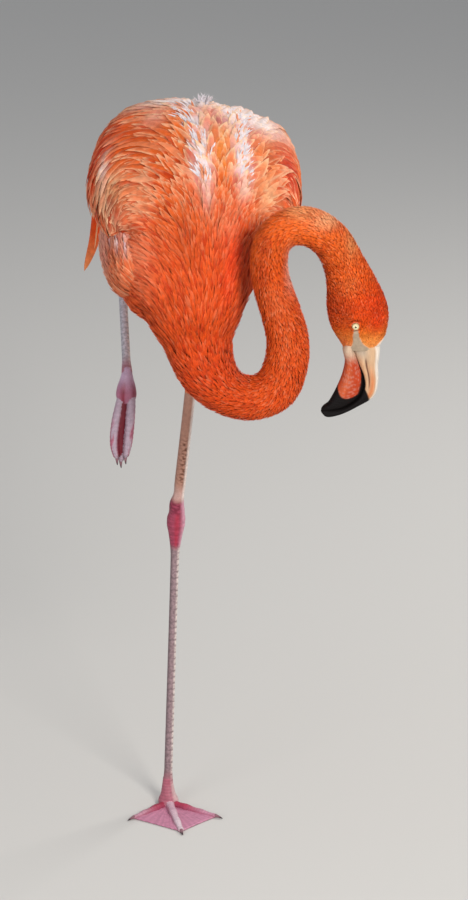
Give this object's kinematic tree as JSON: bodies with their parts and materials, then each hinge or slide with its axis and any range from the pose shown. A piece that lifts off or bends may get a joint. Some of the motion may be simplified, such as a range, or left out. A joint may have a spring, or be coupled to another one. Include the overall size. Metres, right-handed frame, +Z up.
{
  "type": "flamingo",
  "caption": "Life-size American flamingo standing on its left leg, body tipped forward, neck looped to its left with the bill pointing down, right leg drawn up with the foot hanging.",
  "frame": {"origin": "the floor under the heel of the standing left foot, on its sole", "axes": "+Z up, -Y the way the trunk and breast face, +X the bird's left"},
  "size_m": [0.3332, 0.4697, 0.8151],
  "materials": {
    "plumage": "soft body feathers, orange-red",
    "wing_feathers": "layered wing, scapular and tail feathers, orange with pale edges",
    "flight_feathers": "black flight feathers",
    "leg_skin": "bare scaly skin, greyish pink",
    "joint_skin": "bare skin of joints and webs, deep pink",
    "bill_pale": "smooth horn, pale cream with a black tip",
    "bill_orange": "smooth horn, orange with a black tip",
    "eye": "wet, pale yellow iris with a black pupil",
    "claw": "dark horn"
  },
  "bodies": {
    "root": {"trunk": "plumage", "neck_1": "plumage", "neck_2": "plumage", "neck_3": "plumage", "neck_4": "plumage", "neck_5": "plumage", "neck_6": "plumage", "neck_7": "plumage", "head": "plumage", "eye_right": "eye", "eye_left": "eye", "bill_upper": "bill_pale", "bill_lower": "bill_orange", "tail": "wing_feathers", "thigh_right": "plumage", "thigh_left": "plumage", "tertials_right": "wing_feathers", "tertials_left": "wing_feathers", "primaries_right": "flight_feathers", "primaries_left": "flight_feathers", "wing_right": "wing_feathers", "wing_left": "wing_feathers", "shin_left": "leg_skin", "tarsus_left": "leg_skin", "hock_left": "joint_skin", "shin_right": "leg_skin", "tarsus_right": "leg_skin", "hock_right": "joint_skin", "foot_left": "leg_skin", "toe_inner_left": "leg_skin", "claw_inner_left": "claw", "toe_middle_left": "leg_skin", "claw_middle_left": "claw", "toe_outer_left": "leg_skin", "claw_outer_left": "claw", "web_inner_left": "joint_skin", "web_outer_left": "joint_skin", "toe_hind_left": "leg_skin", "foot_right": "joint_skin", "toe_inner_right": "leg_skin", "claw_inner_right": "claw", "toe_outer_right": "leg_skin", "claw_outer_right": "claw", "toe_middle_right": "leg_skin", "claw_middle_right": "claw", "web_right": "joint_skin", "toe_hind_right": "leg_skin"}
  },
  "joints": []
}
